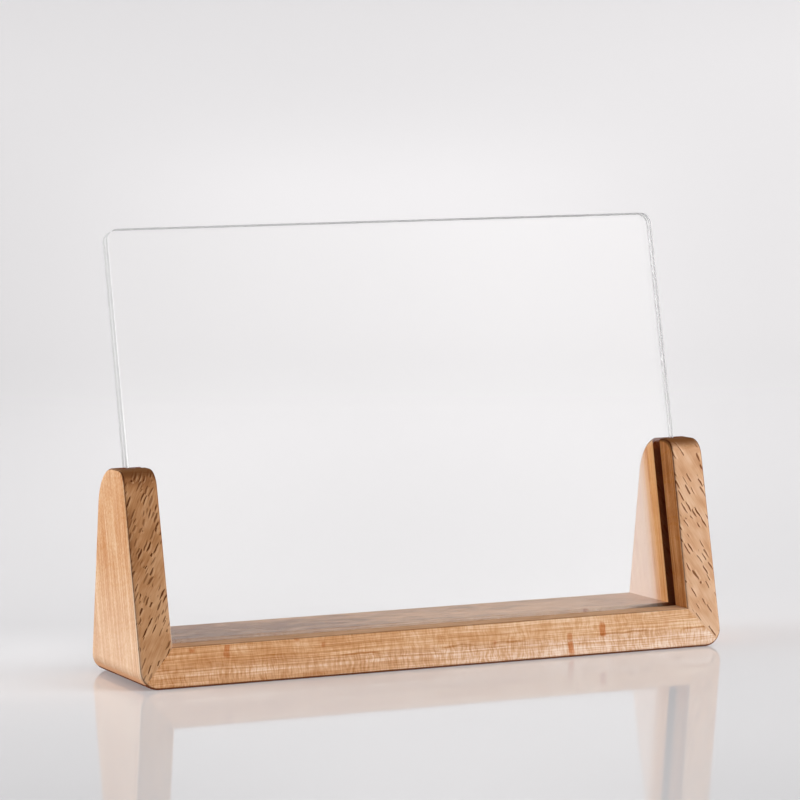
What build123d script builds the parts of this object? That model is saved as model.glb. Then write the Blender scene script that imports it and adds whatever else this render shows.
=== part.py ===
from build123d import *
from math import cos, radians, sin, tan
import os

os.makedirs("parts", exist_ok=True)

# A leaning U-shaped beech stand that holds a print between two clear sheets.
# The origin is the centre of the footprint on the table.
# X runs along the rail, Y to the back and Z up, all in millimetres.

# The two clear sheets, cut for a standard 5 by 7 inch print
sheet_width = 178.0
sheet_height = 127.0
sheet_thickness = 2.4
sheet_corner_radius = 3.5
sheet_edge_chamfer = 0.2
print_gap = 0.3

# The stand, seen from the side as a trapezoid whose faces lean alike
lean_angle = 11.6
base_depth = 47.7
upright_height = 62.7
upright_foot_thickness = 10.8
upright_top_thickness = 10.4
rail_thickness = 11.9
outer_corner_radius = 5.5
eased_edge_radius = 1.0

# The crown of each upright is rounded over most of its depth, the back more than the front
front_round_share = 0.27
back_round_share = 0.64

# The groove, sawn parallel to the front face through all three pieces
front_land = 7.7
groove_width = 6.5
rail_groove_depth = 4.4
end_wall = 4.4
end_clearance = 0.3
rear_clearance = 0.2
saw_overrun = 5.0

# The hidden dowels across each glued mitre
dowel_diameter = 4.0
dowel_length = 6.0
dowel_chamfer = 0.4
glue_gap = 0.05
dowel_end_gap = 0.4

# Sizes that follow from the ones above
lean = radians(lean_angle)
groove_length = sheet_width + 2 * end_clearance
half_length = groove_length / 2 + end_wall
half_base = base_depth / 2
half_top = half_base - upright_height * tan(lean)
crown_depth = 2 * half_top
top_front_radius = crown_depth * front_round_share
top_back_radius = crown_depth * back_round_share

# The inner face of each upright falls back a little as it rises, so its foot is thicker
inner_draft = (upright_foot_thickness - upright_top_thickness) / upright_height
corner_thickness = upright_foot_thickness - inner_draft * rail_thickness
inner_half_at_rail = half_length - corner_thickness
inner_half_at_top = half_length - upright_top_thickness

# The front face is the plane that the groove and the sheets are measured from.
# Its local Y climbs the lean, and its local Z points out towards the viewer.
front_face = Plane(origin=(0, -half_base, 0), x_dir=(1, 0, 0), z_dir=(0, -cos(lean), sin(lean)))
groove_middle = front_land + groove_width / 2
groove_floor = (rail_thickness - rail_groove_depth + groove_middle * sin(lean)) / cos(lean)
groove_rise = upright_height / cos(lean) + saw_overrun

# Each mitre runs from the outer lower corner to the inner upper corner of its joint.
# Its plane stands on the middle of the joint, with local X along the depth of the stand.
mitre_height = rail_thickness / 2
mitre_reach = half_length - corner_thickness / 2
left_mitre = Plane(
    origin=(-mitre_reach, 0, mitre_height),
    x_dir=(0, 1, 0),
    z_dir=(-rail_thickness, 0, corner_thickness),
)
right_mitre = Plane(
    origin=(mitre_reach, 0, mitre_height),
    x_dir=(0, 1, 0),
    z_dir=(rail_thickness, 0, corner_thickness),
)

# One dowel sits in the wood before the groove and one in the wood behind it
face_at_mitre = -half_base + mitre_height * tan(lean)
groove_back_at_mitre = face_at_mitre + (front_land + groove_width) / cos(lean)
back_at_mitre = half_base - mitre_height * tan(lean)
front_dowel_y = face_at_mitre + front_land / cos(lean) / 2
rear_dowel_y = (groove_back_at_mitre + back_at_mitre) / 2
dowel_places = [(front_dowel_y, 0), (rear_dowel_y, 0)]
dowel_hole_radius = dowel_diameter / 2 + glue_gap
dowel_hole_depth = dowel_length / 2 + dowel_end_gap

# The whole stand, glued up and shaped before it is told apart into its pieces
with BuildPart() as stand:
    with BuildSketch(Plane.XZ):
        Rectangle(2 * half_length, upright_height, align=(Align.CENTER, Align.MIN))
        fillet(vertices().group_by(Axis.Y)[0], radius=outer_corner_radius)
        with BuildLine():
            Polyline(
                (-inner_half_at_rail, rail_thickness),
                (inner_half_at_rail, rail_thickness),
                (inner_half_at_top, upright_height),
                (-inner_half_at_top, upright_height),
                close=True,
            )
        make_face(mode=Mode.SUBTRACT)
    extrude(amount=base_depth, both=True)
    with BuildSketch(Plane.YZ):
        with BuildLine():
            Polyline(
                (-half_base, 0),
                (half_base, 0),
                (half_top, upright_height),
                (-half_top, upright_height),
                close=True,
            )
        make_face()
        top_corners = vertices().group_by(Axis.Y)[-1].sort_by(Axis.X)
        fillet(top_corners[0], radius=top_front_radius)
        fillet(vertices().group_by(Axis.Y)[-1].sort_by(Axis.X)[-1], radius=top_back_radius)
    extrude(amount=half_length, both=True, mode=Mode.INTERSECT)

    # Every outside edge is sanded round before the groove is cut
    rail_edges = edges().filter_by(Axis.X).filter_by_position(Axis.Z, 0, rail_thickness)
    crown_edges = edges().filter_by(Axis.Y).group_by(Axis.Z)[-1]
    sloping_edges = edges().filter_by(Axis.X, reverse=True).filter_by(Axis.Y, reverse=True)
    fillet(rail_edges + crown_edges + sloping_edges, radius=eased_edge_radius)

    # The groove runs down both uprights and along the rail, square to the lean
    with BuildSketch(front_face.offset(-front_land)):
        with Locations((0, groove_floor)):
            Rectangle(groove_length, groove_rise, align=(Align.CENTER, Align.MIN))
    extrude(amount=-groove_width, mode=Mode.SUBTRACT)

# Left upright, above its mitre, with the blind holes for its dowels
with BuildPart() as left_upright:
    add(stand.part)
    split(bisect_by=left_mitre, keep=Keep.TOP)
    with BuildSketch(left_mitre):
        with Locations(*dowel_places):
            Circle(dowel_hole_radius)
    extrude(amount=dowel_hole_depth, mode=Mode.SUBTRACT)
left_upright.part.label = "left_upright"
export_step(left_upright.part, "parts/left_upright.step")

# Right upright
with BuildPart() as right_upright:
    add(stand.part)
    split(bisect_by=right_mitre, keep=Keep.TOP)
    with BuildSketch(right_mitre):
        with Locations(*dowel_places):
            Circle(dowel_hole_radius)
    extrude(amount=dowel_hole_depth, mode=Mode.SUBTRACT)
right_upright.part.label = "right_upright"
export_step(right_upright.part, "parts/right_upright.step")

# Bottom rail, between the two mitres
with BuildPart() as bottom_rail:
    add(stand.part)
    split(bisect_by=left_mitre, keep=Keep.BOTTOM)
    split(bisect_by=right_mitre, keep=Keep.BOTTOM)
    with BuildSketch(left_mitre, right_mitre):
        with Locations(*dowel_places):
            Circle(dowel_hole_radius)
    extrude(amount=-dowel_hole_depth, mode=Mode.SUBTRACT)
bottom_rail.part.label = "bottom_rail"
export_step(bottom_rail.part, "parts/bottom_rail.step")

# Dowels of the left corner, two short pins with chamfered ends
with BuildPart() as left_corner_dowels:
    with BuildSketch(left_mitre):
        with Locations(*dowel_places):
            Circle(dowel_diameter / 2)
    extrude(amount=dowel_length / 2, both=True)
    chamfer(edges().filter_by(GeomType.CIRCLE), length=dowel_chamfer)
left_corner_dowels.part.label = "left_corner_dowels"
export_step(left_corner_dowels.part, "parts/left_corner_dowels.step")

# Dowels of the right corner
with BuildPart() as right_corner_dowels:
    with BuildSketch(right_mitre):
        with Locations(*dowel_places):
            Circle(dowel_diameter / 2)
    extrude(amount=dowel_length / 2, both=True)
    chamfer(edges().filter_by(GeomType.CIRCLE), length=dowel_chamfer)
right_corner_dowels.part.label = "right_corner_dowels"
export_step(right_corner_dowels.part, "parts/right_corner_dowels.step")

# The rear sheet leans on the back wall of the groove and stands on its floor
rear_sheet_back = front_land + groove_width - rear_clearance
with BuildPart() as rear_sheet:
    with BuildSketch(front_face.offset(-rear_sheet_back)):
        with Locations((0, groove_floor + sheet_height / 2)):
            RectangleRounded(sheet_width, sheet_height, sheet_corner_radius)
    extrude(amount=sheet_thickness)
    chamfer(faces().filter_by(front_face).edges(), length=sheet_edge_chamfer)
rear_sheet.part.label = "rear_sheet"
export_step(rear_sheet.part, "parts/rear_sheet.step")

# The front sheet stands before it, with room for the print between them
front_sheet_back = rear_sheet_back - sheet_thickness - print_gap
with BuildPart() as front_sheet:
    with BuildSketch(front_face.offset(-front_sheet_back)):
        with Locations((0, groove_floor + sheet_height / 2)):
            RectangleRounded(sheet_width, sheet_height, sheet_corner_radius)
    extrude(amount=sheet_thickness)
    chamfer(faces().filter_by(front_face).edges(), length=sheet_edge_chamfer)
front_sheet.part.label = "front_sheet"
export_step(front_sheet.part, "parts/front_sheet.step")
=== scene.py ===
from functools import partial
from math import cos, pi, radians, sin

import bmesh
import bpy
from mathutils import Matrix, Vector


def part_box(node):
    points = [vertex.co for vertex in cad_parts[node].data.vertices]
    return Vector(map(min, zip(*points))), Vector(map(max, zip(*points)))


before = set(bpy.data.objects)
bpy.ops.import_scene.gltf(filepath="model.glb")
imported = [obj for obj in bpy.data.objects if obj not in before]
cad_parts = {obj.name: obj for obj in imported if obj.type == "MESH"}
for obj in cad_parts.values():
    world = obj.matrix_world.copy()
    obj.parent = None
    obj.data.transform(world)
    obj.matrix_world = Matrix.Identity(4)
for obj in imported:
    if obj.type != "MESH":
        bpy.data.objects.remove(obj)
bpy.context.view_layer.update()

# %% [markdown]
# # A photo block holder in oiled beech and clear acrylic
#
# The real object is a low U of beech, mitred at both lower corners. A groove that leans back runs
# down both uprights and along the rail, and two clear sheets stand in it with room for a print
# between them. All seven pieces come from the CAD model, and this notebook never moves or reshapes
# them. It adds what a maker adds last: the figure and the oil of the wood, the polish of the
# acrylic, and a quiet studio to see them in.

# %% What was loaded
millimetre = 0.001
for name in sorted(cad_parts):
    low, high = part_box(name)
    print("node", name, [round((b - a) / millimetre, 1) for a, b in zip(low, high)], "mm")

# %% [markdown]
# ## Colours as a paint program shows them
#
# Every colour below is a hex value. Blender calculates in linear light, where doubling a number
# doubles the light, so one function converts them. It is the sRGB curve: a short straight part for
# the darkest tones, and a power of 2.4 above it.

# %% From hex to linear light
def linear(hex_colour):
    channels = [int(hex_colour[i : i + 2], 16) / 255 for i in (1, 3, 5)]
    return [c / 12.92 if c <= 0.04045 else ((c + 0.055) / 1.055) ** 2.4 for c in channels] + [1]


print("half way up a paint program's scale is", round(linear("#808080")[0], 3), "of the light")

# %% [markdown]
# ## Materials are small networks
#
# A material is a network of nodes that pass numbers and colours from socket to socket. One function
# adds any node. It applies the settings first, because some of them decide which sockets exist, and
# then fills the inputs: a tuple fills them in order, a dict by name. An input can be a number, a
# socket, or another node, which stands for its first output that is switched on. Each node could
# also be made, set and linked in lines of its own, but those lines would hide the idea behind them.

# %% One function for every node
def add_node(tree, kind, inputs=(), stops=(), **settings):
    node = tree.nodes.new("ShaderNode" + kind)
    for setting, value in settings.items():
        setattr(node, setting, value)
    if stops:
        ramp = node.color_ramp.elements
        ramp.remove(ramp[1])
        ramp[0].position, ramp[0].color = stops[0][0], linear(stops[0][1])
        for position, tone in stops[1:]:
            ramp.new(position).color = linear(tone)
    sockets = [socket for socket in node.inputs if socket.enabled]
    if isinstance(inputs, dict):
        sockets = [next(s for s in sockets if s.name == name) for name in inputs]
        inputs = inputs.values()
    for socket, value in zip(sockets, inputs):
        if isinstance(value, bpy.types.Node):
            value = next(s for s in value.outputs if s.enabled)
        if isinstance(value, bpy.types.NodeSocket):
            tree.links.new(value, socket)
        else:
            socket.default_value = value
    return node


def start_nodes(owner):
    owner.use_nodes = True
    owner.node_tree.nodes.clear()
    return partial(add_node, owner.node_tree)


kinds = [kind for kind in dir(bpy.types) if kind.startswith("ShaderNode")]
print(len(kinds), "kinds of shader node can be added with one function")

# %% [markdown]
# Three settings come back so often that they get a name: a soft step from one value to another, a
# product of two numbers, and a mix of two colours.

# %% Settings that come back often
soft = {"interpolation_type": "SMOOTHSTEP"}
times = {"operation": "MULTIPLY"}
colours = {"data_type": "RGBA"}
print("named settings:", soft, times, colours)

# %% [markdown]
# A mask is a number from 0 to 1 that says how much of something a point gets. Often it has to end
# somewhere: at a height, at a depth, or where the surface turns away. A plain comparison would
# leave a hard line there. So each limit is a soft step from nothing to everything, and the steps
# are multiplied into the mask.

# %% Where a mask ends
def within(add, mask, *limits):
    for value, nothing, everything in limits:
        step = add("MapRange", (value, nothing, everything, 0.0, 1.0), **soft)
        mask = add("Math", (mask, step), **times)
    return mask


print("a quarter of the way along, a soft step is", 3 * 0.25**2 - 2 * 0.25**3, "high")

# %% [markdown]
# ## Where a point lies in the log
#
# Wood isn't painted on: its figure is what the saw leaves of a log. A picture of wood could be
# wrapped around each piece, but it would break at every edge, and a solid pattern runs on around
# the corner as real wood does. So the first step turns a point of the piece into a place in the
# log. `grain` is the way the fibres run, `bark` points from the heart of the tree outwards, and the
# third way follows the growth rings. Three dot products do it, and they count in millimetres, so
# every pattern after this has its real size.

# %% The place in the log
def log_place(add, point_mm, grain, bark):
    ways = (grain, bark.cross(grain), bark)
    parts = [add("VectorMath", (point_mm, way), operation="DOT_PRODUCT") for way in ways]
    return add("CombineXYZ", parts)


print("one unit of every pattern is 1 mm, or", millimetre, "m in the scene")

# %% [markdown]
# ## Patterns in real sizes
#
# Every pattern starts as noise that is stretched to a size in millimetres: along the grain, along
# the ring and across the rings. Waves would be simpler, but they are too regular for rings that
# grew in wet and dry years. `variation` swings about zero, so that patterns can be added up without
# making the wood lighter or darker as a whole. `figure` adds them, each with its weight.
# Real growth rings of beech are 1 to 3 mm wide. The finest lines inside them are drawn 0.36 mm
# wide, a little coarser than life, because that is what shows at this distance. Each layer below
# has its size and how many finer octaves the noise adds to it.

# %% Noise with a size, and a sum of noises
noise_roughness = 0.55


def variation(add, place, size, detail):
    in_cells = add("VectorMath", (place, [1 / s for s in size]), **times)
    noise = add("TexNoise", {
        "Vector": in_cells, "Scale": 1.0, "Detail": detail, "Roughness": noise_roughness,
    })
    return add("Math", (noise, 0.5), operation="SUBTRACT")


def figure(add, start, layers):
    total = start
    for layer, weight in layers:
        total = add("Math", (layer, weight, total), operation="MULTIPLY_ADD")
    return total


log_layers = {
    "ring lines": ((60.0, 18.0, 0.36), 1.0),
    "growth rings": ((90.0, 24.0, 2.2), 1.0),
    "fibres": ((5.0, 0.4, 0.4), 2.0),
    "clouds": ((9.0, 5.0, 6.0), 2.0),
}
for layer, (size, _) in log_layers.items():
    print(layer, "are drawn", size[2], "mm wide and", size[0], "mm long")

# %% [markdown]
# ## Rays
#
# Beech is known by its rays, thin sheets of cells that run from the heart to the bark. Where the
# saw cuts across them they show as short dark dashes, and where it runs nearly along them as broad
# flecks. Stretched noise could draw them, but it gives blobs of every size. Voronoi cells, one ray
# to a cell, put them down at random without piling them up. In each cell a stretched distance from
# its centre draws the ray, tapered or blunt. Some cells stay empty, and no two rays are equally
# long or dark. The half size of a dash counts along the grain, along the ring and toward the bark,
# and the last one is so long that a ray never ends in the depth.

# %% One ray to a cell
def ray_marks(add, place, rays):
    in_cells = add("VectorMath", (place, [1 / c for c in rays["cell"]]), **times)
    cells = add("TexVoronoi", {"Vector": in_cells, "Scale": 1.0, "Randomness": 1.0})
    offset = add("VectorMath", (in_cells, cells.outputs["Position"]), operation="SUBTRACT")
    stretch = [c / m for c, m in zip(rays["cell"], rays["half size"])]
    in_marks = add("VectorMath", (offset, stretch), **times)
    if rays["blunt"]:
        in_marks = add("VectorMath", (in_marks, in_marks), **times)
    distance = add("VectorMath", (in_marks,), operation="LENGTH")
    chance = add("SeparateColor", (cells.outputs["Color"],))
    shortest, longest = 1 - rays["share"], 1 - rays["share"] / 3
    length = add("MapRange", (chance.outputs["Red"], shortest, longest, 0.0, 1.0), **soft)
    inside = add("Math", (length, distance), operation="SUBTRACT")
    drawn = add("MapRange", (inside, 0.0, rays["soft edge"], 0.0, 1.0), **soft)
    strength = add("MapRange", (chance.outputs["Green"], 0.0, 1.0, rays["faintest"], 1.0))
    return add("Math", (drawn, strength), **times)


dashes = {
    "half size": (2.2, 0.28, 1000.0), "blunt": False, "soft edge": 0.3, "faintest": 0.5,
    "wiggle": (0.0, 0.9, 0.0), "glint beside": (0.3, 0.55, 0.0), "blend": "MIX",
}
dash_length, dash_width, _ = (round(2 * half, 2) for half in dashes["half size"])
print("dashes are up to", dash_length, "mm long and", dash_width, "mm wide, wider than in life")

# %% [markdown]
# A ray that was cut across stands a trace deeper than the wood, so one of its long sides catches
# the light. The same dashes, pushed a little to the side and laid down first in a pale tone, give
# that glint as a painted highlight. The rays wiggle with the fibres around them, and they belong to
# the front faces only, because the side faces are cut along them.

# %% Rays laid over a colour
front_share_of_rays = (0.5, 0.9)
strongest_ray = 0.95
wiggle_size_mm = (3.0, 1.5, 4.0)


def add_rays(add, colour, place, facing_front, rays):
    shown = add("MapRange", (facing_front, *front_share_of_rays, 0.0, strongest_ray), **soft)
    wiggle = variation(add, place, wiggle_size_mm, 1.0)
    place = add("VectorMath", (wiggle, rays["wiggle"], place), operation="MULTIPLY_ADD")
    # painted highlight: pale copies of the dashes, pushed a little to the side
    if rays["glint share"]:
        beside = add("VectorMath", (place, rays["glint beside"]), operation="ADD")
        glints = add("Math", (ray_marks(add, beside, rays), rays["glint share"]), **times)
        glints = add("Math", (glints, shown), **times)
        colour = add("Mix", (glints, colour, linear(rays["glint"])), **colours)
    marks = ray_marks(add, place, rays)
    drawn = add("Math", (marks, shown), **times)
    colour = add("Mix", (drawn, colour, linear(rays["tint"])), blend_type=rays["blend"], **colours)
    return colour, marks


print("the glint lies", dashes["glint beside"][1], "mm beside its dash")

# %% [markdown]
# ## Where a point lies on the stand
#
# Wood changes by place: end grain drinks oil, and the eased edges darken. Shade and light are
# painted by place too, in the groove, at the foot and on some faces. So the material has to know
# where it is. The faces lean back 11.6 degrees, so the groove is found by its depth behind the
# leaning front face, and an eased edge is where the surface faces none of the three directions of
# the stand. Faces could be picked by hand and given materials of their own, but a place in
# millimetres needs no picking and can fade. All of this hangs on the piece and not on the camera,
# so it stays put from every side.

# %% Directions of the stand, and fields that say where a point is
lean = radians(11.6)
front_normal = Vector((0, -cos(lean), sin(lean)))
up_the_lean = Vector((0, sin(lean), cos(lean)))
across = Vector((1, 0, 0))
base_depth_mm = 47.7
front_foot_mm = -base_depth_mm / 2


def where_on_stand(add):
    source = add("TexCoord")
    point = add("VectorMath", (source.outputs["Object"], 1 / millimetre), operation="SCALE")
    place = add("SeparateXYZ", (point,))
    turn = add("SeparateXYZ", (source.outputs["Normal"],))
    depth = add("VectorMath", (point, -front_normal), operation="DOT_PRODUCT")
    spot = {
        "point": point,
        "normal": source.outputs["Normal"],
        "depth": add("Math", (depth, front_foot_mm * cos(lean)), operation="SUBTRACT"),
        "x": place.outputs["X"],
        "height": place.outputs["Z"],
        "upward": turn.outputs["Z"],
    }
    for way, axis in (("side", across), ("front", front_normal), ("top", up_the_lean)):
        dot = add("VectorMath", (source.outputs["Normal"], axis), operation="DOT_PRODUCT")
        spot[way] = add("Math", (dot,), operation="ABSOLUTE")
    return spot


print("the front face looks along", [round(c, 3) for c in front_normal])

# %% [markdown]
# ## End grain, dark edges and painted shade
#
# These washes lie over the figure, each a mask and a colour. They could be painted on the mesh by
# hand, but a mask in numbers can be read, moved and made weaker. End grain drinks the most oil and
# is brown on top, and less so where it faces down. The eased edges get a dark brown line, darkest
# high up. Along the bottom edges it is painted shade, where the rounds turn away from the light.
# The edges stay pale where they turn toward the side. The long round of each crown counts as an
# edge too, but it is broad, so there the wash is held back.
#
# A `turn` says how much the surface looks along a direction: 1 straight along it, and 0 across it.

# %% Masks for end grain and eased edges
end_turn, end_shares = (0.3, 0.85), (0.4, 0.95)
rounded_turn, off_side_turn = (0.85, 0.55), (-0.25, 0.1)
edge_dark_mm, edge_dark_shares = (10.0, 50.0), (0.6, 0.92)
crown_mm, crown_share = (52.0, 57.0), 0.35


def end_grain_mask(add, spot, grain):
    along = add("VectorMath", (spot["normal"], grain), operation="DOT_PRODUCT")
    along = add("Math", (along,), operation="ABSOLUTE")
    end = add("MapRange", (along, *end_turn, 0.0, 1.0), **soft)
    turned_up = add("MapRange", (spot["upward"], -0.2, 0.2, *end_shares), **soft)
    return add("Math", (end, turned_up), **times)


def edge_mask(add, spot):
    flattest = add("Math", (spot["front"], spot["top"]), operation="MAXIMUM")
    off_the_side = add("Math", (flattest, spot["side"]), operation="SUBTRACT")
    flattest = add("Math", (flattest, spot["side"]), operation="MAXIMUM")
    squared = add("Math", (flattest, flattest), **times)
    # a dark line along the eased edges, darkest high up; at the bottom edges it is painted shade
    edge_by_height = add("MapRange", (spot["height"], *edge_dark_mm, *edge_dark_shares), **soft)
    edge = within(add, edge_by_height, (squared, *rounded_turn), (off_the_side, *off_side_turn))
    below_the_crown = add("MapRange", (spot["height"], *crown_mm, 1.0, crown_share), **soft)
    beside_the_crown = add("MapRange", (spot["side"], 0.1, 0.35, 0.0, 1.0), **soft)
    kept = add("Math", (below_the_crown, beside_the_crown), operation="MAXIMUM")
    return add("Math", (edge, kept), **times)


print("edges darken between", edge_dark_mm, "mm, and the crown starts at", crown_mm[0], "mm")

# %% [markdown]
# The rounds that turn down to the table get a tone of their own for each board. On the uprights
# it is a tan tone, painted light against the shade under the rounds, and under the rail it is dark,
# painted shade. The groove, with its sawn walls, is painted dark as the shade in it: dark in the
# uprights and in the corners, and paler along the rail.

# %% Masks for the foot and the groove
down_turn, underside_turn, foot_share = (-0.3, -0.55), (-0.99, -0.95), 0.85
front_land_mm, groove_width_mm, saw_reach_mm, saw_blur_mm = 7.7, 6.5, 0.15, 0.1
groove_walls_mm = (front_land_mm - saw_reach_mm, front_land_mm + groove_width_mm + saw_reach_mm)
groove_end_mm = 91.2
groove_shade_above_mm, groove_shade_beyond_mm, groove_shade_shares = (12.0, 16.0), (76.0, 84.0), (0.15, 0.95)


# painted light on the uprights' rounds that turn down, painted shade on the rail's
def foot_mask(add, spot):
    turned_down = add("MapRange", (spot["upward"], *down_turn, 0.0, foot_share), **soft)
    return within(add, turned_down, (spot["upward"], *underside_turn))


# painted shade inside the groove
def groove_shade_mask(add, spot):
    front_wall, back_wall = groove_walls_mm
    sideways = add("Math", (spot["x"],), operation="ABSOLUTE")
    in_upright = add("MapRange", (spot["height"], *groove_shade_above_mm, *groove_shade_shares), **soft)
    in_corner = add("MapRange", (sideways, *groove_shade_beyond_mm, *groove_shade_shares), **soft)
    mask = add("Math", (in_upright, in_corner), operation="MAXIMUM")
    for value, wall, inward in (
        (spot["depth"], front_wall, saw_blur_mm),
        (spot["depth"], back_wall, -saw_blur_mm),
        (sideways, groove_end_mm, -saw_blur_mm),
    ):
        inside = add("MapRange", (value, wall - inward, wall + inward, 0.0, 1.0))
        mask = add("Math", (mask, inside), **times)
    return mask


print("the groove lies", [round(wall, 2) for wall in groove_walls_mm], "mm behind the front face")

# %% [markdown]
# ## Oiled beech
#
# The front faces and the side faces of a board show different cuts through the same log, so each
# has its own three tones and its own weights for the four layers. One set for the whole board would
# be simpler, but real beech changes its colour and its pattern from one cut to the next. `story` is
# what else happened to a board: more layers for the front, more for the sides, and its own washes.

# %% The bare wood of a board
tone_places = (0.1, 0.5, 0.9)
front_faces = (0.35, 0.85)


def no_story(add, spot, clouds):
    return [], [], []


def bare_wood(add, spot, layers, board, story):
    front_story, side_story, washes = story(add, spot, layers["clouds"])
    ramps = []
    for face, extra in (("side", side_story), ("front", front_story)):
        weighted = list(zip(layers.values(), board[face + " weights"]))
        stops = tuple(zip(tone_places, board[face + " tones"]))
        ramps.append(add("ValToRGB", (figure(add, 0.5, weighted + extra),), stops=stops))
    on_front = add("MapRange", (spot["front"], *front_faces, 0.0, 1.0), **soft)
    colour = add("Mix", (on_front, *ramps), **colours)
    for mask, tone, blend in washes:
        colour = add("Mix", (mask, colour, linear(tone)), blend_type=blend, **colours)
    return colour


print("each board mixes", len(log_layers), "layers twice, for its front and for its sides")

# %% [markdown]
# Beech is sanded along the grain and rubbed with oil, so it has a soft satin sheen: a roughness
# near 0.5, and the usual index of refraction of wood, 1.5. Its open pores swallow part of the
# gloss, so the specular level is low, and end grain, worn edges and rays are rougher. The fibres
# and the rays stand a few hundredths of a millimetre proud or deep. Moved vertices could show that,
# but the relief is much finer than the mesh, so it goes into the bump.

# %% The finish that all boards share
# the groove tone is painted shade
end_tone, edge_tone, groove_shade_tone = "#744824", "#4A1E04", "#742C06"
wander_size_mm, wander_by_mm = (25.0, 12.0, 12.0), (0.0, 3.0, 1.0)
relief_depth, relief_strength = 0.15 * millimetre, 0.6
roughest, smoothest = 0.6, 0.48
wood_ior, wood_specular = 1.5, 0.1


def oiled_beech(name, board, story=no_story):
    material = bpy.data.materials.new(name)
    add = start_nodes(material)
    spot = where_on_stand(add)
    place = log_place(add, spot["point"], board["grain"], board["bark"])
    wander = variation(add, place, wander_size_mm, 1.0)
    place = add("VectorMath", (wander, wander_by_mm, place), operation="MULTIPLY_ADD")
    layers = {layer: variation(add, place, *how) for layer, how in log_layers.items()}

    colour = bare_wood(add, spot, layers, board, story)
    colour, marks = add_rays(add, colour, place, spot["front"], board["rays"])
    end, edge = end_grain_mask(add, spot, board["grain"]), edge_mask(add, spot)
    for mask, tone in (
        (end, end_tone),
        (edge, edge_tone),
        (foot_mask(add, spot), board["foot light and shade tone"]),
        (groove_shade_mask(add, spot), groove_shade_tone),
    ):
        colour = add("Mix", (mask, colour, linear(tone)), **colours)

    relief = figure(add, 0.0, [(layers["fibres"], 0.4), (marks, -0.15)])
    satin = add("MapRange", (layers["fibres"], -0.2, 0.2, roughest, smoothest))
    surface = add("BsdfPrincipled", {
        "Base Color": colour,
        "Roughness": figure(add, satin, [(end, 0.3), (edge, 0.35), (marks, 0.3)]),
        "IOR": wood_ior,
        "Specular IOR Level": wood_specular,
        "Normal": add("Bump", {
            "Height": relief, "Strength": relief_strength, "Distance": relief_depth,
        }),
    })
    add("OutputMaterial", {"Surface": surface})
    print(name, "has", len(material.node_tree.nodes), "nodes")
    return material


print("from fibre to fibre the roughness goes from", smoothest, "to", roughest)

# %% [markdown]
# ## The left upright
#
# This board is the darkest of the three. Its fibres lean 27 degrees to the right, and its front
# face is cut straight across the rays, which is why it carries so many dashes, each with a thin
# painted highlight beside it. Its outer face is pale and finely striped. The three tones of each
# face go from the darkest to the palest that it shows.

# %% The board of the left upright
grain_tilt = radians(27)
# painted light on the rounds that turn down to the table
upright_foot_light_tone = "#CC9870"
left_board = {
    "grain": sin(grain_tilt) * across + cos(grain_tilt) * up_the_lean,
    "bark": front_normal,
    "front tones": ("#885834", "#AB794F", "#C69971"),
    "side tones": ("#B87848", "#CE9B6C", "#E4C4A3"),
    "front weights": (0.4, 0.2, 0.6, 1.2),
    "side weights": (1.6, 0.5, 0.9, 0.5),
    "foot light and shade tone": upright_foot_light_tone,
    "rays": {
        **dashes, "cell": (3.0, 1.7, 40.0), "share": 0.88, "tint": "#4C2004",
        "glint": "#D8AE84", "glint share": 0.4,
    },
}
print("one dash to a cell of", left_board["rays"]["cell"][:2], "mm on the left upright")

# %% [markdown]
# Near its foot both faces are paler. On the outer face this is painted light, which grows toward
# the foot, and along the outer face's lower edges a painted highlight makes it palest. The front
# grows a little paler again toward the top, and the round of the crown is darker, because there the
# saw met the ends of the fibres.

# %% What happened to the left upright
# tones of the painted light near the foot and of the painted highlight along the edges
foot_light_tone, edge_highlight_tone = "#FFEBD6", "#FFE8CC"
left_front_by_height_mm = {
    "pale foot": (40.0, 8.0, 0.25),
    "pale top": (40.0, 58.0, 0.14),
    "dark crown": (55.5, 60.0, -0.5),
}


def left_story(add, spot, clouds):
    # painted light: the outer face grows paler toward the foot
    painted_foot_light = add("MapRange", (spot["height"], 42.0, 5.0, 0.0, 0.3), **soft)
    painted_foot_light = add("Math", (painted_foot_light, spot["side"]), **times)
    on_side = add("Math", (spot["side"], spot["front"]), operation="SUBTRACT")
    # painted highlight along the lower edges of the outer face
    painted_edge_highlight = add("MapRange", (spot["height"], 50.0, 20.0, 0.0, 0.55), **soft)
    beside_edge, above_round = (spot["side"], 0.99, 0.9), (spot["upward"], -0.25, -0.1)
    painted_edge_highlight = within(add, painted_edge_highlight, beside_edge, above_round, (on_side, -0.2, 0.1))
    front = []
    for first, last, change in left_front_by_height_mm.values():
        shift = add("MapRange", (spot["height"], first, last, 0.0, change), **soft)
        front.append((shift, 1.0))
    return front, [], [(painted_foot_light, foot_light_tone, "MIX"), (painted_edge_highlight, edge_highlight_tone, "MIX")]


left_beech = oiled_beech("oiled_beech_left", left_board, left_story)

# %% [markdown]
# ## The right upright
#
# It was turned over, so its fibres lean the other way, and it comes from a paler part of the tree
# with fewer and fainter rays. The left finish could be mirrored for it, but no two boards match in
# life. Its inner face has the warmest tone of the whole stand. It is painted darker in front of the
# groove, as the shade that the sheets cast there, and lighter behind it. At the very back a pale
# grey
# stripe is a painted reflection: the veil that the sheets lay over the face.

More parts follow.
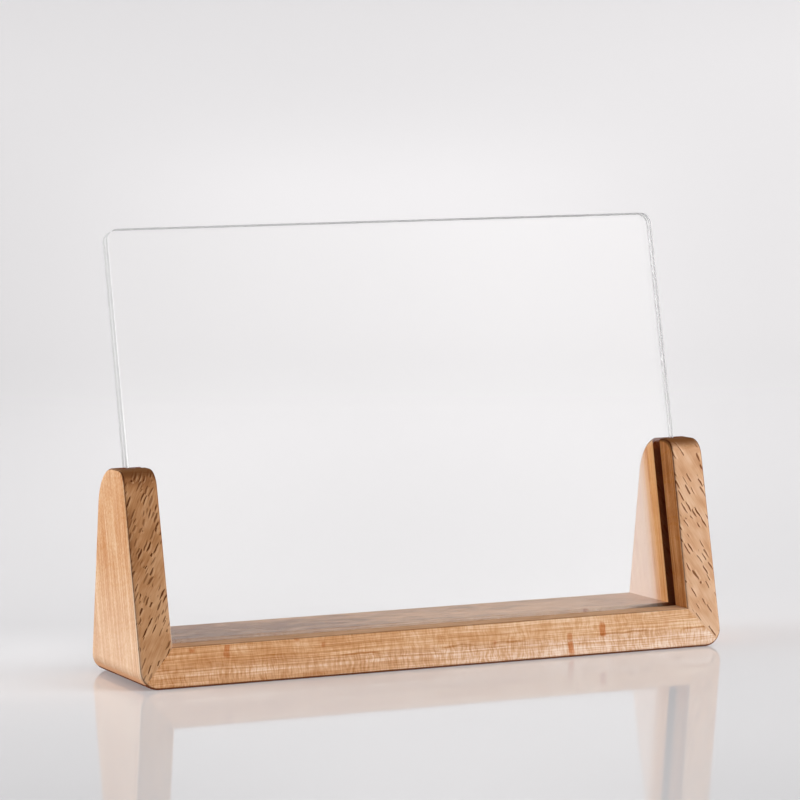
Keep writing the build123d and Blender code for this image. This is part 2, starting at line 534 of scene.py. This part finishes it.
# %% Right upright
# the colour of a painted reflection, the pale veil of the sheets
veil_tone = "#DEDEE0"
right_board = {
    "grain": -sin(grain_tilt) * across + cos(grain_tilt) * up_the_lean,
    "bark": front_normal,
    "front tones": ("#B68256", "#D4A580", "#EAC8A8"),
    "side tones": ("#B0692F", "#D0884A", "#E8B178"),
    "front weights": (0.4, 0.3, 0.4, 1.1),
    "side weights": (1.6, 0.5, 0.3, 0.6),
    "foot light and shade tone": upright_foot_light_tone,
    "rays": {
        **dashes, "cell": (3.8, 2.1, 40.0), "share": 0.85, "soft edge": 0.2, "faintest": 0.75,
        "tint": "#683004", "glint": "#F2D2AC", "glint share": 0.45,
    },
}


def right_story(add, spot, clouds):
    # painted shade in front of the groove and painted light behind it
    painted_shade_by_depth = add("MapRange", (spot["depth"], 8.0, 16.0, -0.14, 0.29), **soft)
    foot = add("MapRange", (spot["height"], 60.0, 20.0, -0.1, 0.13))
    # painted reflection: the pale veil of the sheets over the back of the face
    painted_veil = add("MapRange", (spot["depth"], 18.0, 26.0, 0.0, 0.48), **soft)
    painted_veil = add("Math", (painted_veil, spot["side"]), **times)
    return [(foot, 1.0)], [(painted_shade_by_depth, 1.0)], [(painted_veil, veil_tone, "MIX")]


right_beech = oiled_beech("oiled_beech_right", right_board, right_story)

# %% [markdown]
# ## The bottom rail
#
# The rail lies flat in the U, so its fibres run level and its front face shows the log from
# another side: fine level lines above, one darker, broken ring line along the middle, and a few
# broad orange ray flecks. These are blunt, and they are multiplied with the wood, so that its lines
# run on through them.

# %% The board of the rail
rail_board = {
    "grain": across,
    "bark": Vector((0, 0, 1)),
    "front tones": ("#B0723E", "#D4A072", "#F4D4B4"),
    "side tones": ("#8E5D3E", "#CE9D73", "#E2B48E"),
    "front weights": (0.85, 0.4, 0.4, 0.4),
    "side weights": (0.6, 0.5, 1.0, 0.8),
    # painted shade under the rail
    "foot light and shade tone": "#703416",
    "rays": {
        "cell": (11.0, 1.3, 8.0), "half size": (1.15, 0.45, 4.0), "share": 0.5, "blunt": True,
        "soft edge": 0.6, "faintest": 0.1, "wiggle": (1.2, 0.0, 0.0),
        "tint": "#E2B48E", "blend": "MULTIPLY", "glint share": 0.0,
    },
}
print("the rail's flecks are up to", 2 * rail_board["rays"]["half size"][0], "mm wide")

# %% [markdown]
# The planer left its chatter, fine upright ripples that show most in the paler lower half. They are
# drawn 0.5 mm wide, coarser than the knife marks are, so that they show, and they sway a little, as
# the knives cut deeper in soft wood. The ring line is a thin band of height, made wavy by the
# clouds of the figure, and broken where the wood is patchy.

# %% Planer marks and the ring line
chatter = 0.55
sway_size_mm, sway_by_mm = (5.0, 20.0, 3.0), (1.6, 0.0, 0.0)
ripple_size_mm, band_size_mm, patch_size_mm = (0.5, 5.0, 3.0), (1.5, 20.0, 5.0), (14.0, 20.0, 5.0)


def planer_marks(add, spot, patches):
    sway = variation(add, spot["point"], sway_size_mm, 1.0)
    swayed = add("VectorMath", (sway, sway_by_mm, spot["point"]), operation="MULTIPLY_ADD")
    ripples = variation(add, swayed, ripple_size_mm, 2.0)
    ripples = add("MapRange", (ripples, -0.14, 0.1, -0.5, 0.4))
    low = add("MapRange", (spot["height"], 9.0, 4.0, 0.22, 0.36), **soft)
    ripples = add("Math", (ripples, figure(add, low, [(patches, 0.5)])), **times)
    return [(ripples, 1.4 * chatter), (variation(add, swayed, band_size_mm, 2.0), 0.3 * chatter)]


def ring_line(add, spot, clouds, patches):
    wavy_height = figure(add, spot["height"], [(clouds, 2.0)])
    line = add("MapRange", (wavy_height, 5.6, 5.9, 0.0, 1.0), **soft)
    line = within(add, line, (wavy_height, 6.5, 6.1), (patches, -0.05, 0.1))
    return [(line, -0.3)]


print("the planer's ripples are drawn", ripple_size_mm[0], "mm wide")

# %% [markdown]
# The board is paler toward its right end. On top, painted shade darkens it toward the left, where
# the left upright stands, most of all behind the groove, and the strip before the groove is as pale
# as the front. The lower half of the front is lifted by dividing the colour by a pale one, which
# keeps the figure as strong as it was.

# %% Bottom rail
lifting_tone = "#F8ECD8"


def rail_story(add, spot, clouds):
    patches = variation(add, spot["point"], patch_size_mm, 1.0)
    paler_right = add("MapRange", (spot["x"], -90.0, 90.0, -0.13, 0.13))
    front = planer_marks(add, spot, patches) + ring_line(add, spot, clouds, patches)
    front += [(patches, 0.2), (paler_right, 1.0)]

    # painted shade on the rail's top, darkest toward the left upright
    painted_shade_left = add("MapRange", (spot["x"], -83.0, 60.0, -0.35, 0.1))
    behind_groove = add("MapRange", (spot["depth"], 6.0, 9.0, 0.2, 1.0), **soft)
    before_groove = add("MapRange", (spot["depth"], 6.0, 9.0, 0.16, 0.0), **soft)
    painted_shade_left = add("Math", (painted_shade_left, behind_groove), **times)

    wavy_height = figure(add, spot["height"], [(clouds, 6.0)])
    pale = add("MapRange", (spot["x"], -90.0, -10.0, 0.35, 0.9))
    pale = within(add, pale, (wavy_height, 7.0, 5.0))
    pale = add("Math", (pale, spot["front"]), **times)
    return front, [(painted_shade_left, 1.0), (before_groove, 1.0)], [(pale, lifting_tone, "DIVIDE")]


rail_beech = oiled_beech("oiled_beech_rail", rail_board, rail_story)

# %% [markdown]
# ## The dowels
#
# The four dowels are turned from straight-grained beech and never see oil or light. They sit inside
# the mitres, so they only show when the stand is taken apart. They could stay plain, but the same
# function dresses them too, with fibres that run straight up, tones closer together and no story.

# %% Dowels
dowel_tones = ("#BC8658", "#D2A076", "#E4BA92")
dowel_board = {
    **left_board,
    "grain": Vector((0, 0, 1)), "bark": Vector((0, 1, 0)),
    "front tones": dowel_tones, "side tones": dowel_tones,
    "front weights": (1.0, 0.5, 0.5, 0.5), "side weights": (1.0, 0.5, 0.5, 0.5),
}
dowel_beech = oiled_beech("turned_beech_dowel", dowel_board)

# %% [markdown]
# ## Cast acrylic
#
# Cast acrylic is clearer than window glass and has an index of refraction of 1.49. The two faces
# come from the mould with a perfect gloss. The narrow edges are sawn and only flame polished, so
# they keep a little haze and catch the light as thin pale lines. Their lower ends, deep in the
# groove, are left clear.
#
# Light that goes straight through a sheet should still reach the wood behind. The path tracer
# would treat it as a shadow or, with caustics, find it slowly and with much noise. So for shadow
# rays the sheet is a plain see-through filter. It passes 96% of the light, and less the flatter the
# light strikes, as the real surface does.

# %% Acrylic
acrylic_ior = 1.49
edge_haze, edge_clearness = 0.35, 0.62
hazy_above_mm = (14.0, 18.0)
straight_share, grazing_power = 0.96, 5.0


def cast_acrylic(name):
    material = bpy.data.materials.new(name)
    add = start_nodes(material)
    spot = where_on_stand(add)
    edge = add("MapRange", (spot["front"], 0.6, 0.3, 0.0, 1.0), **soft)
    edge = within(add, edge, (spot["height"], *hazy_above_mm))
    clear = add("BsdfPrincipled", {
        "Base Color": linear("#FFFFFF"),
        "Roughness": add("Math", (edge, edge_haze), **times),
        "IOR": acrylic_ior,
        "Transmission Weight": add("MapRange", (edge, 0.0, 1.0, 1.0, edge_clearness)),
    })
    turned_away = add("LayerWeight", {"Blend": 0.5}).outputs["Facing"]
    grazing = add("Math", (turned_away, grazing_power), operation="POWER")
    passed = add("MapRange", (grazing, 0.0, 1.0, straight_share, 0.0))
    filtered = add("BsdfTransparent", (passed,))
    shadow = add("LightPath").outputs["Is Shadow Ray"]
    add("OutputMaterial", {"Surface": add("MixShader", (shadow, clear, filtered))})
    return material


acrylic = cast_acrylic("cast_acrylic")
one_face = ((acrylic_ior - 1) / (acrylic_ior + 1)) ** 2
print("straight on, one face reflects", round(one_face, 3), "of the light")

# %% [markdown]
# ## Dressing the pieces
#
# Each CAD node keeps its mesh and its place, and only gets its finish. A mesh has slots for
# materials, and one slot is all these pieces need, because the groove and the edges are washes and
# not materials of their own.

# %% Finishes on their pieces
finishes = {
    "left_upright": left_beech,
    "right_upright": right_beech,
    "bottom_rail": rail_beech,
    "left_corner_dowels": dowel_beech,
    "right_corner_dowels": dowel_beech,
    "front_sheet": acrylic,
    "rear_sheet": acrylic,
}
for name, material in finishes.items():
    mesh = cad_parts[name].data
    mesh.materials.clear()
    mesh.materials.append(material)
    print(name, "wears", material.name)

# %% [markdown]
# ## The place of the camera
#
# The camera stands low, in front and to the left. It could be placed by eye, but its turn, its
# height and its long lens were solved from the edges of the object in the photo. It comes before
# the studio, because a studio is set up around a camera. `to_the_right` and `straight_on` are the
# photographer's own directions on the table.

# %% Camera
yaw, pitch, roll = radians(22.321), radians(4.345), radians(-1.114)
distance = 1.107716
target = Vector((-0.001862, 0, 0.078417))
frame_pixels, focal_pixels, sensor_mm = 800, 3677.487, 36
look = Vector((sin(yaw) * cos(pitch), cos(yaw) * cos(pitch), -sin(pitch)))
to_the_right = Vector((cos(yaw), -sin(yaw), 0))
straight_on = Vector((sin(yaw), cos(yaw), 0))
rise = to_the_right.cross(look)
side = cos(roll) * to_the_right + sin(roll) * rise
rise = cos(roll) * rise - sin(roll) * to_the_right
camera_data = bpy.data.cameras.new("camera")
camera_data.sensor_width = sensor_mm
camera_data.lens = focal_pixels / frame_pixels * sensor_mm
camera = bpy.data.objects.new("camera", camera_data)
bpy.context.scene.collection.objects.link(camera)
camera_point = target - look * distance
turn = Matrix((side, rise, -look)).transposed().to_4x4()
camera.matrix_world = Matrix.Translation(camera_point) @ turn
bpy.context.scene.camera = camera
bpy.context.scene.view_settings.view_transform = "Standard"
print("the camera is", round(camera_point.z, 3), "m up, its lens", round(camera_data.lens), "mm")

# %% [markdown]
# ## The white board
#
# The object stands on a glossy white board that turns up into the backdrop without an edge. A sheet
# that bends up behind would do for one view. Here it is a shallow bowl, flat in the middle, so that
# it serves from every side. It is made in mesh code: one profile, turned around the middle.

# %% Mesh of the board
flat_radius = 1.6
bend_radius = 1.4
rim_angle = radians(58)


def seamless_sweep(name, turns=128, steps=24):
    profile = [(flat_radius, 0.0)]
    for i in range(1, steps + 1):
        angle = rim_angle * i / steps
        height = bend_radius * (1 - cos(angle))
        profile.append((flat_radius + bend_radius * sin(angle), height))
    form = bmesh.new()
    centre = form.verts.new((0, 0, 0))
    ways = [(cos(2 * pi * i / turns), sin(2 * pi * i / turns)) for i in range(turns)]
    rings = [[form.verts.new((r * x, r * y, h)) for x, y in ways] for r, h in profile]
    for i in range(turns):
        j = (i + 1) % turns
        form.faces.new((centre, rings[0][i], rings[0][j]))
        for inner, outer in zip(rings, rings[1:]):
            form.faces.new((inner[i], outer[i], outer[j], inner[j]))
    for face in form.faces:
        face.smooth = True
    mesh = bpy.data.meshes.new(name)
    form.to_mesh(mesh)
    form.free()
    piece = bpy.data.objects.new(name, mesh)
    bpy.context.scene.collection.objects.link(piece)
    return piece


sweep = seamless_sweep("seamless_sweep")
print("the board has", len(sweep.data.polygons), "faces")

# %% [markdown]
# ## The finish of the board
#
# Everything on the board depends on where a point lies: how far from the middle, how far to the
# photographer's right, and how far straight ahead. These are fixed directions on the table, in
# metres, so nothing on the board turns with the camera.

# %% Places on the board
white_board = bpy.data.materials.new("gloss_white_board")
add = start_nodes(white_board)
place = add("NewGeometry").outputs["Position"]
flat_place = add("VectorMath", (place, (1, 1, 0)), **times)
far = add("VectorMath", (flat_place,), operation="LENGTH")
rightward = add("VectorMath", (place, to_the_right), operation="DOT_PRODUCT")
ahead = add("VectorMath", (place, straight_on), operation="DOT_PRODUCT")
sideways = add("Math", (rightward,), operation="ABSOLUTE")
print("the board bends up beyond", flat_radius, "m")

# %% [markdown]
# The backdrop gets a glow of its own, so that it stays pale without throwing more light on the
# object. More lamps could do that too, but they would spill. The glow grows with the distance and
# fades in two steps toward the rim. A brighter pool, which widens as it goes back, lies behind the
# object, as if a lamp were turned to the backdrop there.

# %% Glow of the backdrop and its pool
near_glow, backdrop_glow, glow_reach = 0.06, 0.42, (0.15, 1.7)
rim_fades = ((2.3, 2.65, 0.75), (2.64, 2.76, 0.45))
pool_height, pool_spread, pool_left = 0.1, (0.08, 0.2), 0.02
glow = add("MapRange", (far, *glow_reach, near_glow, backdrop_glow), **soft)
for first, last, left in rim_fades:
    fade = add("MapRange", (far, first, last, 1.0, left), **soft)
    glow = add("Math", (glow, fade), **times)

half_width = add("Math", (ahead, *pool_spread), operation="MULTIPLY_ADD")
off_centre = add("Math", (rightward, pool_left), operation="ADD")
off_centre = add("Math", (off_centre,), operation="ABSOLUTE")
off_centre = add("Math", (off_centre, half_width), operation="DIVIDE")
pool = add("MapRange", (off_centre, 0.15, 1.0, 1.0, 0.0), **soft)
pool = within(add, pool, (ahead, -0.6, 0.9), (ahead, 2.35, 2.1))
print("the glow rises from", near_glow, "to", backdrop_glow, "of white, the pool adds", pool_height)

# %% [markdown]
# Four weak fills of painted light even out the board, as a photographer does with white cards. One
# lifts the left side, one rises from left to right over everything, a small patch of painted light
# lifts the cast shadow at the left foot, and the last one lifts the middle of the foreground and
# lets its corners fall off.

# %% Fills on the board
left_fill = add("MapRange", (rightward, 0.05, -0.12, 0.0, 0.03), **soft)
left_fill = within(add, left_fill, (far, 1.7, 0.5), (ahead, -0.15, -0.02))
right_fill = add("MapRange", (rightward, -0.5, 0.5, -0.06, 0.08))
# painted light that lifts the cast shadow beside the left foot
painted_shadow_lift = add("MapRange", (rightward, -0.07, -0.12, 0.0, 0.1), **soft)
painted_shadow_lift = within(add, painted_shadow_lift, (ahead, -0.08, -0.02), (ahead, 0.1, 0.02))
foreground = add("MapRange", (sideways, 0.0, 0.085, 0.04, -0.07), **soft)
foreground = within(add, foreground, (ahead, -0.05, -0.4))
fills = (left_fill, right_fill, painted_shadow_lift, foreground)
glow = figure(add, glow, [(pool, pool_height), *((fill, 1.0) for fill in fills)])
print("the pool and", len(fills), "fills lie over the glow")

# %% [markdown]
# The board is coated, such as a laminated table top: smooth and glossy where the object stands,
# with an index of refraction of 1.48, which gives the soft mirror image under it. Farther out it
# turns matt, so that no horizon shows, and the foreground is a little more matt too. The glow is
# seen by the camera, in reflections and through the acrylic only, and so it never lights the wood.

# %% Gloss and matt
board_white, glow_white = "#E1E1E3", "#FFFCFD"
board_ior, gloss_roughness = 1.48, 0.05
light_path = add("LightPath")
seen = light_path.outputs["Is Camera Ray"]
for ray in ("Is Glossy Ray", "Is Transmission Ray"):
    seen = add("Math", (seen, light_path.outputs[ray]), operation="MAXIMUM")
coat = {
    "Base Color": linear(board_white),
    "Emission Color": linear(glow_white),
    "Emission Strength": add("Math", (glow, seen), **times),
}
glossy = add("BsdfPrincipled", {**coat, "Roughness": gloss_roughness, "IOR": board_ior})
matt = add("BsdfPrincipled", {**coat, "Roughness": 1.0, "Specular IOR Level": 0.0})
matt_share = add("MapRange", (far, 0.3, 1.5, 0.2, 1.0), **soft)
in_front = add("MapRange", (ahead, -0.08, -0.24, 0.0, 0.12), **soft)
matt_share = add("Math", (matt_share, in_front), operation="ADD")
add("OutputMaterial", {"Surface": add("MixShader", (matt_share, glossy, matt))})
sweep.data.materials.append(white_board)
print(white_board.name, "has", len(white_board.node_tree.nodes), "nodes")

# %% [markdown]
# ## Light from all around
#
# A studio is a dim white room with a few bright cards in it. It could be a photograph of one,
# wrapped around the scene, but a few soft spots in nodes can be moved one by one. The room is
# darkest overhead and behind the left side. Two cards stand in front: one far to the right, which
# lays a thin veil on the acrylic, and one higher up, which does the same for its mirror image in
# the board. A flag, a dark panel that holds light back, takes the veil off the top of the sheets.

# %% World
world = bpy.data.worlds.new("studio")
bpy.context.scene.world = world
add = start_nodes(world)
direction = add("TexCoord").outputs["Generated"]
low_room, high_room = 1.2, 0.22
right_card_level, high_card_level, flag_level = 1.68, 0.9, 0.6


def toward(x, y, z):
    way = Vector((x, y, z)).normalized()
    return add("VectorMath", (direction, way), operation="DOT_PRODUCT")


up = add("SeparateXYZ", (direction,)).outputs["Z"]
room = add("MapRange", (up, 0.12, 0.75, low_room, high_room), **soft)
dim_left = add("MapRange", (toward(-0.85, -0.5, 0.1), 0.4, 0.95, 1.0, 0.1), **soft)
right_card = add("MapRange", (toward(0.85, -0.5, 0.15), 0.75, 0.99, 0.0, 1.0), **soft)
high_card = add("MapRange", (toward(0.38, -0.72, 0.6), 0.935, 0.985, 0.0, 1.0), **soft)
flag = add("MapRange", (toward(0.42, -0.84, 0.37), 0.985, 0.999, 0.0, 1.0), **soft)
room = add("Math", (room, dim_left), **times)
level = figure(add, room, [
    (right_card, right_card_level), (high_card, high_card_level), (flag, -flag_level),
])
background = add("Background", {"Color": linear("#FFFDFC"), "Strength": level})
add("OutputWorld", {"Surface": background})
print("the room is", low_room, "of white low down and", high_room, "overhead")

# %% [markdown]
# ## Two soft boxes
#
# A long soft box behind the left side grazes the outer face of the left upright, and a large one in
# front on the right lights everything else. Bare bulbs would give hard shadows, and a large bright
# rectangle gives soft ones. The power of an area lamp grows with its area, so it is worked out from
# a level: 1 would make a white card straight in front of it just white. The right one isn't seen
# in reflections, where it would stand as a hard white patch in the sheets.

# %% Lamps
def soft_box(name, place, aim, size, level):
    lamp = bpy.data.lights.new(name, "AREA")
    lamp.shape = "RECTANGLE"
    lamp.size, lamp.size_y = size
    lamp.energy = level * pi * size[0] * size[1]
    piece = bpy.data.objects.new(name, lamp)
    bpy.context.scene.collection.objects.link(piece)
    piece.location = place
    piece.rotation_euler = (Vector(aim) - Vector(place)).to_track_quat("-Z", "Y").to_euler()
    piece.visible_camera = False
    piece.visible_transmission = False
    print(name, "has", round(lamp.energy, 1), "W over", size, "m")
    return piece


soft_box("soft_box_left", (-0.85, 0.32, 0.2), (0, 0, 0.05), (0.7, 0.38), 8.5)
right_box = soft_box("soft_box_right", (1.0, -0.85, 0.5), (0.05, 0, 0.03), (1.1, 0.8), 4.6)
right_box.visible_glossy = False

# %% [markdown]
# ## The size stays that of the CAD model
#
# Nothing was added outside the solids, so the box of the solids as they were loaded and the box of
# the dressed object have to be equal.
